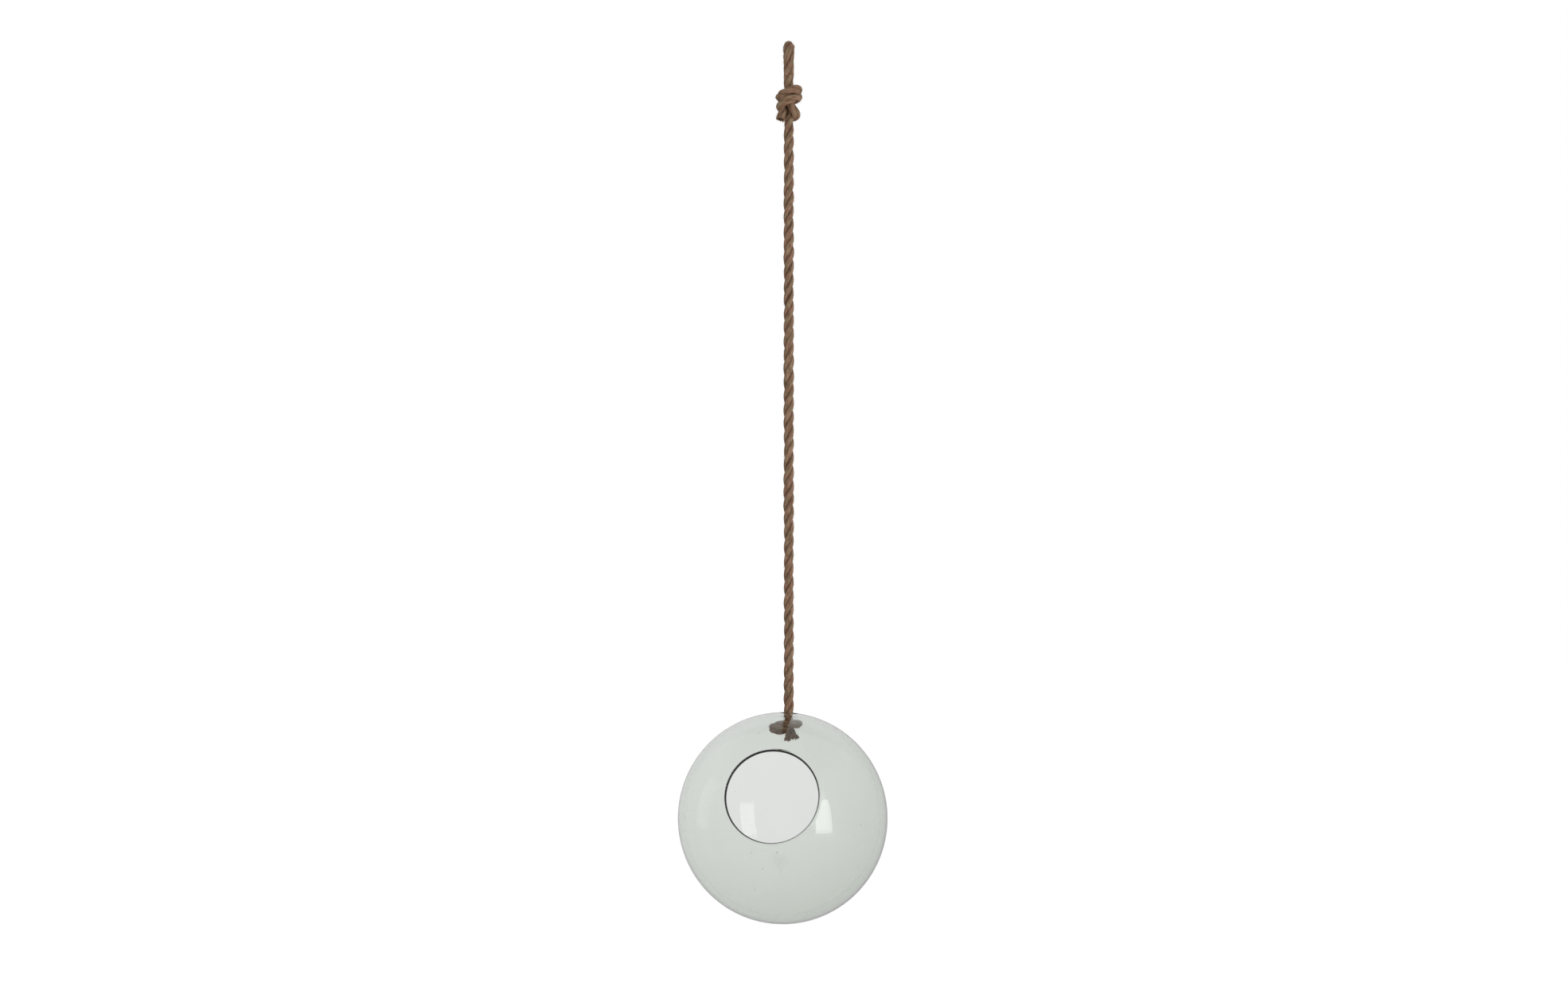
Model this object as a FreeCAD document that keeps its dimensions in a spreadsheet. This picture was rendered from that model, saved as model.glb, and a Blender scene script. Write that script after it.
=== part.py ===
import FreeCAD, Part

import math
import os

import Sketcher

# Hanging glass propagation vase, in millimetres.
# A hollow glass ball with one round side mouth hangs on a laid jute rope.
# The rope runs through a hole at the ball's top and ends in a stopper knot inside it.
# Its other end is tied into a small eye that goes over a hook.
# The origin is where the hook bears, at the inside top of the eye. +Z is up.
# The mouth looks towards -Y. The rope hangs along the Z axis.

SIZES = {
    # the rope, and the gap left where two stretches of it bend against each other
    "rope_diameter": 8.0,
    "bend_clearance": 0.4,
    # heights, down from the hook
    "hook_to_globe": 472.5,
    "side_swing_depth": 20.0,
    "fore_swing_depth": 53.5,
    # heights, up from the ball's top
    "side_tip_height": 34.0,
    "fore_tip_height": 10.0,
    # the ball
    "globe_diameter": 150.0,
    "wall_thickness": 4.2,
    "globe_left": 4.3,
    "globe_forward": 3.35,
    "cavity_left": 0.71,
    "cavity_up": 1.5,
    # its mouth, and the hole that the rope runs through
    "mouth_diameter": 63.2,
    "mouth_rise_angle": 20.7,
    "mouth_left_angle": 6.7,
    "mouth_rim_rounding": 1.1,
    "rope_hole_diameter": 12.0,
    "hole_rim_rounding": 0.8,
    # the loop knot's two wraps and its cut tail
    "band_tilt_angle": 29.0,
    "lower_wrap_tilt_angle": 9.0,
    "loop_tail_length": 7.5,
    # the stopper knot's wrap and its frayed tail
    "stopper_tilt_angle": 14.0,
    "stopper_tail_length": 8.8,
    "stopper_play": 0.5,
    # how far a cutter runs past what it cuts
    "cut_overrun": 5.0,
}

# The eye's route as y and z, from one leg's foot over the top to the other. y is in rope
# diameters, and so is z above the hook. Below the hook z is in side swing depths.
# The hook bears half a diameter under the route's top.
LOOP_ROUTE_SHARES = [
    (0.525, -1.0),
    (0.525, -0.832),
    (1.18, -0.304),
    (1.01, 0.01),
    (0.39, 0.5),
    (-0.39, 0.5),
    (-1.01, 0.01),
    (-1.18, -0.304),
    (-0.525, -0.832),
    (-0.525, -1.0),
]

# A bend's radius, as a share of its shorter run over the tangent of half the turn.
BEND_RADIUS_SHARE = 0.45

# How deep the loop knot's two wraps lie, as shares of the height between its two bends.
BAND_DEPTH_SHARE = 0.334
LOWER_DEPTH_SHARE = 0.705

# The knots' sizes in rope diameters: ring is a wrap's centreline radius, thick its section
# radius. The tails start from the middle of the lower wrap and of the stopper's wrap.
BAND_RING_SHARE = 0.735
BAND_THICK_SHARE = 0.49
LOWER_RING_SHARE = 0.66
LOWER_THICK_SHARE = 0.465
KNOT_CORE_SHARE = 0.6
LOOP_TAIL_THICK_SHARE = 0.44
LOOP_TAIL_START_SHARES = (-0.25, -0.62, 0.23)
STOPPER_RING_SHARE = 0.9
STOPPER_THICK_SHARE = 0.5
STOPPER_LEFT_SHARE = 0.36
STOPPER_LOBE_SHARE = 0.6
STOPPER_LOBE_LEFT_SHARE = 1.11
STOPPER_LOBE_DROP_SHARE = 0.25
STOPPER_TAIL_THICK_SHARE = 0.45
STOPPER_FRAY_SHARE = 0.74
STOPPER_TAIL_START_SHARES = (0.0, -0.2, -0.4)

# How an edge is told to be a rim: points tried along it, and how far off they may lie.
RIM_SAMPLES = 9
RIM_TOLERANCE_SHARE = 0.001

# Which way the tails point, as shares of their length along X, Y and Z.
LOOP_TAIL_WAY_SHARES = (-0.62, -0.2, -0.76)
STOPPER_TAIL_WAY_SHARES = (0.2, -0.42, -0.85)

doc = FreeCAD.newDocument("propagation_vase")
sizes = doc.addObject("Spreadsheet::Sheet", "sizes")
for row, (alias, value) in enumerate(SIZES.items(), start=1):
    sizes.set("A%d" % row, alias)
    sizes.set("B%d" % row, "%g" % value)
    sizes.setAlias("B%d" % row, alias)
doc.recompute()

# Sizes that follow from the sheet, as expressions on it.
ROPE_RADIUS = "(sizes.rope_diameter / 2)"
SEAT_RADIUS = "(sizes.rope_diameter / 2 + sizes.bend_clearance)"
LEG_OFFSET = "(sizes.rope_diameter * %g)" % LOOP_ROUTE_SHARES[0][0]
GLOBE_RADIUS = "(sizes.globe_diameter / 2)"
GLOBE_X = "(-sizes.globe_left)"
GLOBE_Y = "(-sizes.globe_forward)"
GLOBE_Z = "(-sizes.hook_to_globe - sizes.globe_diameter / 2)"
CAVITY_RADIUS = "(sizes.globe_diameter / 2 - sizes.wall_thickness)"
CAVITY_X = "(-sizes.globe_left - sizes.cavity_left)"
CAVITY_Z = "(%s + sizes.cavity_up)" % GLOBE_Z
SIDE_TIP_Z = "(-sizes.hook_to_globe + sizes.side_tip_height)"
FORE_TIP_Z = "(-sizes.hook_to_globe + sizes.fore_tip_height)"
SIDE_SWING_Z = "(-sizes.side_swing_depth)"
FORE_SWING_Z = "(-sizes.fore_swing_depth)"
KNOT_HEIGHT = "(sizes.fore_swing_depth - sizes.side_swing_depth)"
BAND_Z = "(%s - %s * %g)" % (SIDE_SWING_Z, KNOT_HEIGHT, BAND_DEPTH_SHARE)
LOWER_WRAP_Z = "(%s - %s * %g)" % (SIDE_SWING_Z, KNOT_HEIGHT, LOWER_DEPTH_SHARE)

# The stopper knot hangs just under the ball's inner wall, which is lower away from the
# rope. Its highest point, right of the rope, clears that wall however the ball is turned.
STOPPER_REACH = "(sizes.rope_diameter * %g)" % (STOPPER_RING_SHARE - STOPPER_LEFT_SHARE)
CAVITY_OFF_AXIS = "sqrt(%s ^ 2 + sizes.globe_forward ^ 2)" % CAVITY_X
STOPPER_TOP_Z = "(%s + sqrt(%s ^ 2 - (%s + %s) ^ 2) - sizes.stopper_play)" % (
    CAVITY_Z,
    CAVITY_RADIUS,
    STOPPER_REACH,
    CAVITY_OFF_AXIS,
)
STOPPER_Z = "(%s - sizes.rope_diameter * %g)" % (STOPPER_TOP_Z, STOPPER_THICK_SHARE)


def of_diameter(share):
    """An expression for a share of the rope's diameter."""
    return "(sizes.rope_diameter * %g)" % share


def place(item, x="0", y="0", z="0", axis=("0", "0", "1"), angle="0"):
    """Binds an object's placement to expressions for its base, axis and angle."""
    item.setExpression(
        "Placement",
        "placement(vector(%s; %s; %s); rotation(vector(%s; %s; %s); %s))"
        % (x, y, z, *axis, angle),
    )
    return item


def ball(name, radius, **spot):
    """A sphere whose radius and place follow the sheet."""
    item = doc.addObject("Part::Sphere", name)
    item.setExpression("Radius", radius)
    return place(item, **spot)


def rod(name, radius, height, **spot):
    """A cylinder that rises along its own Z from its place."""
    item = doc.addObject("Part::Cylinder", name)
    item.setExpression("Radius", radius)
    item.setExpression("Height", height)
    return place(item, **spot)


def ring(name, ring_share, thick_share, **spot):
    """A wrap of rope round a knot."""
    item = doc.addObject("Part::Torus", name)
    item.setExpression("Radius1", of_diameter(ring_share))
    item.setExpression("Radius2", of_diameter(thick_share))
    return place(item, **spot)


def fuse(name, pieces):
    """One solid from pieces that run into each other."""
    item = doc.addObject("Part::MultiFuse", name)
    item.Shapes = pieces
    return item


def cut(name, base, tool):
    """What is left of the base outside the tool."""
    item = doc.addObject("Part::Cut", name)
    item.Base = base
    item.Tool = tool
    return item


def pointing(shares):
    """The axis and angle that turn +Z towards a direction given as shares."""
    way = FreeCAD.Vector(*shares).normalize()
    turn = FreeCAD.Rotation(FreeCAD.Vector(0, 0, 1), way)
    axis = ["%.6f" % value for value in turn.Axis]
    return {"axis": axis, "angle": "%.6f" % math.degrees(turn.Angle)}


def origin_plane(body, role):
    """One of a body's own origin planes."""
    for feature in body.Origin.OriginFeatures:
        if feature.Role == role:
            return feature
    raise ValueError("no origin plane " + role)


def rope_stretch(name, top_z, length, domed):
    """A straight stretch of rope under a bend at top_z.

    Its top is hollowed round that bend's centre, so that the domed end above it can roll
    there. Its own end is a dome round the next bend, or flat where a knot takes over.
    """
    # The outline is drawn at its size, and the expressions then hold it there.
    radius = float(sizes.evalExpression(ROPE_RADIUS))
    seat = float(sizes.evalExpression(SEAT_RADIUS))
    run = float(sizes.evalExpression(length))
    rim = math.sqrt(seat**2 - radius**2)
    body = doc.addObject("PartDesign::Body", name)
    body.Label = name
    place(body, z=top_z)
    sketch = body.newObject("Sketcher::SketchObject", name + "_outline")
    sketch.AttachmentSupport = [(origin_plane(body, "XZ_Plane"), "")]
    sketch.MapMode = "FlatFace"
    point = FreeCAD.Vector
    up = point(0, 0, 1)
    seat_arc = sketch.addGeometry(
        Part.ArcOfCircle(
            Part.Circle(point(0, 0, 0), up, seat), -math.pi / 2, -math.asin(rim / seat)
        )
    )
    side = sketch.addGeometry(Part.LineSegment(point(radius, -rim, 0), point(radius, -run, 0)))
    if domed:
        end = sketch.addGeometry(
            Part.ArcOfCircle(Part.Circle(point(0, -run, 0), up, radius), -math.pi / 2, 0)
        )
        low = -run - radius
    else:
        end = sketch.addGeometry(Part.LineSegment(point(0, -run, 0), point(radius, -run, 0)))
        low = -run
    middle = sketch.addGeometry(Part.LineSegment(point(0, low, 0), point(0, -seat, 0)))
    origin = (-1, 1)
    upright = -2
    rule = Sketcher.Constraint
    sketch.addConstraint(rule("Coincident", seat_arc, 3, *origin))
    sketch.addConstraint(rule("PointOnObject", seat_arc, 1, upright))
    sketch.addConstraint(rule("Coincident", seat_arc, 2, side, 1))
    sketch.addConstraint(rule("Vertical", side))
    sketch.addConstraint(rule("Coincident", side, 2, end, 2))
    sketch.addConstraint(rule("Coincident", middle, 1, end, 1))
    sketch.addConstraint(rule("PointOnObject", middle, 1, upright))
    sketch.addConstraint(rule("Coincident", middle, 2, seat_arc, 1))
    sketch.addConstraint(rule("Horizontal", side, 2, end, 3 if domed else 1))
    if domed:
        sketch.addConstraint(rule("PointOnObject", end, 3, upright))
    sketch.addConstraint(rule("Radius", seat_arc, seat))
    sketch.renameConstraint(sketch.ConstraintCount - 1, "seat_radius")
    sketch.addConstraint(rule("DistanceX", *origin, side, 2, radius))
    sketch.renameConstraint(sketch.ConstraintCount - 1, "rope_radius")
    sketch.addConstraint(rule("DistanceY", side, 2, *origin, run))
    sketch.renameConstraint(sketch.ConstraintCount - 1, "run")
    sketch.setExpression("Constraints.seat_radius", SEAT_RADIUS)
    sketch.setExpression("Constraints.rope_radius", ROPE_RADIUS)
    sketch.setExpression("Constraints.run", length)
    turned = body.newObject("PartDesign::Revolution", name + "_turned")
    turned.Profile = sketch
    turned.ReferenceAxis = (sketch, ["V_Axis"])
    turned.Angle = 360
    return body


def rounded_route(points):
    """A wire of straight runs joined by tangent arcs, and the arcs' radii."""
    edges = []
    radii = []
    start = points[0]
    for before, corner, after in zip(points, points[1:], points[2:]):
        run_in = corner - before
        run_out = after - corner
        half_turn = run_in.getAngle(run_out) / 2
        reach = BEND_RADIUS_SHARE * min(run_in.Length, run_out.Length)
        into = corner - run_in.normalize() * reach
        out = corner + run_out.normalize() * reach
        radius = reach / math.tan(half_turn)
        to_centre = (into + out) / 2 - corner
        centre = corner + to_centre.normalize() * (radius / math.cos(half_turn))
        middle = centre + (corner - centre).normalize() * radius
        edges.append(Part.LineSegment(start, into).toShape())
        edges.append(Part.Arc(into, middle, out).toShape())
        radii.append(radius)
        start = out
    edges.append(Part.LineSegment(start, points[-1]).toShape())
    return Part.Wire(edges), radii


def rope_loop():
    """The eye that goes over the hook, ending in two domed feet above the knot."""
    route = []
    for y_share, z_share in LOOP_ROUTE_SHARES:
        height = sizes.rope_diameter if z_share > 0 else sizes.side_swing_depth
        route.append(FreeCAD.Vector(0, y_share * sizes.rope_diameter, z_share * height))
    path = doc.addObject("Part::Feature", "loop_path")
    path.Shape, radii = rounded_route(route)
    section = doc.addObject("Part::Circle", "loop_section")
    section.setExpression("Radius", ROPE_RADIUS)
    place(section, y=LEG_OFFSET, z=SIDE_SWING_Z)
    tube = doc.addObject("Part::Sweep", "loop_tube")
    tube.Sections = [section]
    tube.Spine = (path, ["Edge%d" % number for number in range(1, len(path.Shape.Edges) + 1)])
    tube.Solid = True
    tube.Frenet = False
    feet = [
        ball("front_foot", ROPE_RADIUS, y="(-%s)" % LEG_OFFSET, z=SIDE_SWING_Z),
        ball("back_foot", ROPE_RADIUS, y=LEG_OFFSET, z=SIDE_SWING_Z),
    ]
    doc.recompute()
    length = path.Shape.Length
    print("eye: length %.1f, bend radii %s" % (length, ["%.1f" % radius for radius in radii]))
    print("eye: volume over section times length %.4f" % (
        tube.Shape.Volume / (math.pi * float(sizes.rope_diameter) ** 2 / 4 * length)
    ))
    return fuse("rope_loop", [tube] + feet)


def knot_tail(name, start, way_shares, length, radius):
    """A short cut end of rope that leaves a knot, rounded at its tip."""
    towards = FreeCAD.Vector(*way_shares).normalize()
    shaft = rod(
        name + "_shaft", radius, length, x=start[0], y=start[1], z=start[2], **pointing(way_shares)
    )
    tip_spot = ["(%s + %s * %.6f)" % (base, length, part) for base, part in zip(start, towards)]
    tip = ball(name + "_tip", radius, x=tip_spot[0], y=tip_spot[1], z=tip_spot[2])
    return [shaft, tip]


def loop_knot():
    """The knot under the eye: two wraps round the rope, a cut tail, and the rope's way out."""
    pieces = []
    seats = []
    leg_run = "(%s - %s)" % (SIDE_SWING_Z, BAND_Z)
    for side, sign in (("front", "-"), ("back", "")):
        leg_y = "(%s%s)" % (sign, LEG_OFFSET)
        pieces.append(rod(side + "_leg", ROPE_RADIUS, leg_run, y=leg_y, z=BAND_Z))
        seats.append(ball(side + "_seat", SEAT_RADIUS, y=leg_y, z=SIDE_SWING_Z))
    pieces.append(
        ring(
            "band",
            BAND_RING_SHARE,
            BAND_THICK_SHARE,
            z=BAND_Z,
            axis=("0", "1", "0"),
            angle="(-sizes.band_tilt_angle)",
        )
    )
    pieces.append(
        ring(
            "lower_wrap",
            LOWER_RING_SHARE,
            LOWER_THICK_SHARE,
            z=LOWER_WRAP_Z,
            axis=("0", "1", "0"),
            angle="sizes.lower_wrap_tilt_angle",
        )
    )
    core_run = "(%s - %s + %s)" % (BAND_Z, LOWER_WRAP_Z, of_diameter(KNOT_CORE_SHARE))
    pieces.append(rod("loop_core", of_diameter(KNOT_CORE_SHARE), core_run, z=LOWER_WRAP_Z))
    exit_run = "(%s - %s)" % (BAND_Z, FORE_SWING_Z)
    pieces.append(rod("way_out", ROPE_RADIUS, exit_run, z=FORE_SWING_Z))
    pieces.append(ball("way_out_end", ROPE_RADIUS, z=FORE_SWING_Z))
    start = [
        of_diameter(LOOP_TAIL_START_SHARES[0]),
        of_diameter(LOOP_TAIL_START_SHARES[1]),
        "(%s + %s)" % (LOWER_WRAP_Z, of_diameter(LOOP_TAIL_START_SHARES[2])),
    ]
    pieces += knot_tail(
        "loop_tail",
        start,
        LOOP_TAIL_WAY_SHARES,
        "sizes.loop_tail_length",
        of_diameter(LOOP_TAIL_THICK_SHARE),
    )
    return cut("loop_knot", fuse("loop_knot_whole", pieces), fuse("leg_seats", seats))


def stopper_knot():
    """The rope's stretch through the ball's hole, and the knot that the ball hangs on."""
    stretch_run = "(%s - %s)" % (FORE_TIP_Z, STOPPER_Z)
    stretch = rope_stretch("hole_stretch", FORE_TIP_Z, stretch_run, domed=False)
    left = "(-%s)" % of_diameter(STOPPER_LEFT_SHARE)
    wrap = ring(
        "stopper_wrap",
        STOPPER_RING_SHARE,
        STOPPER_THICK_SHARE,
        x=left,
        z="(%s - sin(sizes.stopper_tilt_angle) * %s)" % (STOPPER_Z, of_diameter(STOPPER_RING_SHARE)),
        axis=("0", "1", "0"),
        angle="(-sizes.stopper_tilt_angle)",
    )
    lobe = ball(
        "stopper_lobe",
        of_diameter(STOPPER_LOBE_SHARE),
        x="(-%s)" % of_diameter(STOPPER_LOBE_LEFT_SHARE),
        z="(%s - %s)" % (STOPPER_Z, of_diameter(STOPPER_LOBE_DROP_SHARE)),
    )
    core_run = of_diameter(STOPPER_THICK_SHARE * 2)
    core = rod(
        "stopper_core",
        of_diameter(KNOT_CORE_SHARE),
        core_run,
        z="(%s - %s)" % (STOPPER_Z, core_run),
    )
    fray = doc.addObject("Part::Cone", "stopper_tail")
    fray.setExpression("Radius1", of_diameter(STOPPER_TAIL_THICK_SHARE))
    fray.setExpression("Radius2", of_diameter(STOPPER_FRAY_SHARE))
    fray.setExpression("Height", "sizes.stopper_tail_length")
    place(
        fray,
        x=of_diameter(STOPPER_TAIL_START_SHARES[0]),
        y=of_diameter(STOPPER_TAIL_START_SHARES[1]),
        z="(%s + %s)" % (STOPPER_Z, of_diameter(STOPPER_TAIL_START_SHARES[2])),
        **pointing(STOPPER_TAIL_WAY_SHARES),
    )
    return fuse("stopper_knot", [stretch, wrap, lobe, core, fray])


def glass_globe():
    """The blown ball: an uneven wall, the round mouth and the rope's hole, rims fire-polished.

    Both spheres lie on their sides, so that their poles and seams miss the two openings.
    """
    lying = {"axis": ("0", "1", "0"), "angle": "90"}
    outside = ball("globe_outside", GLOBE_RADIUS, x=GLOBE_X, y=GLOBE_Y, z=GLOBE_Z, **lying)
    inside = ball("globe_inside", CAVITY_RADIUS, x=CAVITY_X, y=GLOBE_Y, z=CAVITY_Z, **lying)
    mouth = rod(
        "mouth_cutter",
        "(sizes.mouth_diameter / 2)",
        "(%s + sizes.cut_overrun)" % GLOBE_RADIUS,
        x=GLOBE_X,
        y=GLOBE_Y,
        z=GLOBE_Z,
        axis=("cos(sizes.mouth_left_angle)", "-sin(sizes.mouth_left_angle)", "0"),
        angle="(90 - sizes.mouth_rise_angle)",
    )
    hole = rod(
        "hole_cutter",
        "(sizes.rope_hole_diameter / 2)",
        "(%s + sizes.cut_overrun)" % GLOBE_RADIUS,
        z=GLOBE_Z,
    )
    shell = cut("globe_shell", outside, inside)
    opened = cut("globe_opened", shell, fuse("openings", [mouth, hole]))
    doc.recompute()
    rims = []
    mouth_way = mouth.Placement.Rotation.multVec(FreeCAD.Vector(0, 0, 1))
    for number, edge in enumerate(opened.Shape.Edges, start=1):
        for cutter, way, rounding in (
            (mouth, mouth_way, sizes.mouth_rim_rounding),
            (hole, FreeCAD.Vector(0, 0, 1), sizes.hole_rim_rounding),
        ):
            if runs_round(edge, cutter.Placement.Base, way, cutter.Radius.Value):
                rims.append((number, float(rounding), float(rounding)))
    polished = doc.addObject("Part::Fillet", "glass_globe")
    polished.Base = opened
    polished.Edges = rims
    print("rims rounded:", len(rims))
    return polished


def runs_round(edge, base, way, radius):
    """True if an edge lies on a cutter's side and circles its axis."""
    if edge.Degenerated or edge.Length < math.pi * radius:
        return False
    for point in edge.discretize(RIM_SAMPLES):
        spot = point - base
        away = (spot - way * spot.dot(way)).Length
        if abs(away - radius) > radius * RIM_TOLERANCE_SHARE:
            return False
    return True


NODES = {
    "rope_loop": rope_loop(),
    "loop_knot": loop_knot(),
    "hanging_rope": rope_stretch(
        "hanging_rope",
        FORE_SWING_Z,
        "(sizes.hook_to_globe - sizes.side_tip_height - sizes.fore_swing_depth)",
        domed=True,
    ),
    "rope_neck": rope_stretch(
        "rope_neck", SIDE_TIP_Z, "(sizes.side_tip_height - sizes.fore_tip_height)", domed=True
    ),
    "stopper_knot": stopper_knot(),
    "glass_globe": glass_globe(),
}
doc.recompute()

for item in doc.Objects:
    if "Invalid" in item.State or "Error" in item.State:
        raise RuntimeError("%s failed: %s" % (item.Name, item.State))

os.makedirs("parts", exist_ok=True)
for name, item in NODES.items():
    item.Label = name
    shape = item.Shape
    if shape.isNull() or not shape.isValid():
        raise RuntimeError(name + " has no valid shape")
    if len(shape.Solids) != 1:
        raise RuntimeError("%s has %d solids" % (name, len(shape.Solids)))
    shape.exportStep("parts/%s.step" % name)
    box = shape.BoundBox
    print(
        "%s: volume %.0f, x %.1f %.1f, y %.1f %.1f, z %.1f %.1f"
        % (name, shape.Volume, box.XMin, box.XMax, box.YMin, box.YMax, box.ZMin, box.ZMax)
    )
middle = NODES["glass_globe"].Shape.Solids[0].CenterOfMass
print("glass centre of mass: %.3f %.3f %.3f" % (middle.x, middle.y, middle.z))
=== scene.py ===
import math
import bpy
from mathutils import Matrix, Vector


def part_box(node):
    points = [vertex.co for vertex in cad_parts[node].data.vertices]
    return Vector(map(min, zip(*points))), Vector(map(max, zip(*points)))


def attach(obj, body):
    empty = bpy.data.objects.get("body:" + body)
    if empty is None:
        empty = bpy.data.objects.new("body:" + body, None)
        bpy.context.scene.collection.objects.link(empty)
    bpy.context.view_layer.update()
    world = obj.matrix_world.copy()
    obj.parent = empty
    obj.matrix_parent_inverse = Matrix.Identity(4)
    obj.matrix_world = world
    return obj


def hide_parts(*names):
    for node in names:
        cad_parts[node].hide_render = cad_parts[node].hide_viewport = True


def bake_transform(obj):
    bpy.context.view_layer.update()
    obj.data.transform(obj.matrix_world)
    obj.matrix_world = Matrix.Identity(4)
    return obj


bl_info = {
    "name": "Hanging Propagation Vase",
    "version": (1, 0, 0),
    "blender": (4, 5, 0),
    "location": "3D View > Sidebar > Vase",
    "description": "A blown glass ball on a laid jute rope, dressed on its packed frame",
    "category": "Add Mesh",
}

import bpy
import numpy as np
from bpy.props import FloatProperty, FloatVectorProperty, IntProperty, PointerProperty
from bpy.types import Operator, Panel, PropertyGroup
from mathutils import Vector

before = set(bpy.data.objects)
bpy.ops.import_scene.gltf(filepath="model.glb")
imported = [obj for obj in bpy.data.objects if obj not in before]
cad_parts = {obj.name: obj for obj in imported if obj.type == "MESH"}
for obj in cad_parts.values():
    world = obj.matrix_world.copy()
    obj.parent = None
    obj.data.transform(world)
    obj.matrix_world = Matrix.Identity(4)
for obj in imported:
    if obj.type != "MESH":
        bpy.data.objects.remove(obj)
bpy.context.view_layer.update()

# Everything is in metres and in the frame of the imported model: the origin is where the hook
# bears in the rope's eye, +Z is up, and the ball's mouth looks towards -Y.
MM = 0.001

# The rope's route in millimetres, with its width there as a share of its full thickness.
# It runs from the frayed tail inside the ball, through the stopper knot and the ball's hole,
# up to the loop knot, over the eye, and back down round that knot to its cut tail.
STOPPER_ROUTE = [
    (2.4, -3.6, -491.4, 1.34),
    (1.6, -2.8, -487.8, 1.16),
    (-1.6, -1.2, -484.4, 0.86),
    (-5.4, 2.6, -482.4, 0.84),
    (-4.4, 7.2, -482.2, 0.86),
    (2.6, 8.2, -482.2, 0.86),
    (7.2, 3.0, -481.4, 0.86),
    (6.6, -4.4, -481.2, 0.88),
    (0.0, -8.6, -481.6, 0.9),
    (-7.6, -7.2, -482.0, 0.9),
    (-11.8, -1.6, -484.0, 0.92),
    (-8.4, 3.4, -487.0, 0.9),
    (-2.0, 3.0, -485.4, 0.86),
    (0.4, 1.2, -479.6, 0.86),
    (0.0, 0.0, -472.6, 0.94),
]
HANGING_ROUTE = [
    (0.0, 0.0, -466.0, 0.98),
    (0.0, 0.0, -440.0, 1.0),
    (0.0, 0.0, -300.0, 1.0),
    (0.0, 0.0, -180.0, 1.0),
    (0.0, 0.0, -80.0, 1.0),
    (0.0, 0.0, -56.0, 0.98),
]
STANDING_ROUTE = [
    (0.3, 0.2, -49.5, 0.92),
    (1.3, 1.0, -44.5, 0.86),
    (1.6, 1.8, -38.5, 0.84),
    (0.6, 3.2, -31.5, 0.86),
    (0.0, 4.2, -25.5, 0.94),
]
EYE_ROUTE = [
    (0.0, 4.2, -20.0, 0.98),
    (0.0, 4.2, -16.64, 1.0),
    (0.0, 9.44, -6.08, 1.03),
    (0.0, 8.08, 0.08, 1.07),
    (0.0, 3.12, 4.0, 1.07),
    (0.0, -3.12, 4.0, 1.07),
    (0.0, -8.08, 0.08, 1.07),
    (0.0, -9.44, -6.08, 1.03),
    (0.0, -4.2, -16.64, 1.0),
    (0.0, -4.2, -20.0, 0.98),
]
WRAPS_ROUTE = [
    (0.0, -4.1, -25.0, 0.92),
    (0.3, -2.8, -31.0, 0.84),
    (0.8, -2.9, -36.6, 0.82),
    (3.4, -5.0, -41.8, 0.84),
    (6.0, -1.4, -45.0, 0.86),
    (3.2, 5.0, -46.0, 0.84),
    (-3.2, 5.2, -43.8, 0.82),
    (-5.6, 0.6, -41.0, 0.84),
    (-6.2, -3.6, -38.4, 0.86),
    (-3.8, -7.6, -36.6, 0.9),
    (1.0, -8.6, -34.6, 0.92),
    (5.4, -5.8, -32.8, 0.9),
    (7.2, 0.2, -32.2, 0.88),
    (4.4, 6.6, -32.8, 0.86),
    (-1.8, 7.8, -33.6, 0.86),
    (-6.2, 3.4, -33.0, 0.86),
    (-6.4, -2.8, -31.6, 0.9),
    (-3.0, -7.6, -30.4, 0.94),
    (2.0, -8.2, -28.6, 0.94),
    (6.0, -4.6, -27.2, 0.92),
    (6.8, 1.2, -27.0, 0.88),
    (3.4, 6.8, -27.8, 0.84),
    (-2.6, 6.2, -29.4, 0.82),
    (-4.2, 1.6, -33.6, 0.8),
    (-3.8, 0.4, -38.6, 0.8),
    (-4.4, -3.0, -43.0, 0.84),
    (-5.8, -4.8, -48.6, 0.88),
]
ROUTE = STOPPER_ROUTE + HANGING_ROUTE + STANDING_ROUTE + EYE_ROUTE + WRAPS_ROUTE

# Where one piece of the rope hands over to the next, and the heights between which it bends.
# The route passes the knot's seam twice, so the seam is looked for within a short reach.
STOPPER_SEAM = (0.0, 0.0, -450.5)
NECK_SEAM = (0.0, 0.0, -400.0)
KNOT_SEAM = (1.3, 1.0, -44.5)
KNOT_SEAM_REACH = 20 * MM

# How finely the rope is made. A knotted piece uses each row, a straight one every second.
ROUTE_RESOLUTION = 24
ROW_STEP = 0.45 * MM
KNOTTED = 1
STRAIGHT = 2
STRANDS = 3
SIDES = 32
YARN_SIDES = 6
YARN_ROWS = 6

# How the rope's width, its strands' offsets and their widths wander along it: the least
# share, its spread and its wavelength.
WIDTH_WANDER = (0.91, 0.1, 30 * MM)
OFFSET_WANDER = (0.94, 0.12, 13 * MM)
STRAND_WANDER = (0.93, 0.12, 9 * MM)

# How far a strand's turn wanders, in radians, a yarn's place, in yarns, and a fibre's height,
# in strand radii, each over its own wavelength.
TURN_WANDER = 0.35
TURN_WAVE = 21 * MM
YARN_WANDER = 0.6
YARN_WAVE = 12 * MM
FIBRE_WANDER = 0.035
FIBRE_WAVE = 4 * MM
FIBRES_PER_RADIAN = 7

# A yarn's mean height as a share of its crown's, and how much narrower than its full
# thickness the rope is where its strands are fully pressed together.
YARN_MEAN_SHARE = 0.6
FULL_PRESS = 0.12

# Where the fibre pattern lies: on a thin tube of this radius, with the strands well apart.
FIBRE_TUBE = 2.2 * MM
FIBRE_TUBES_APART = 50 * MM

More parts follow.
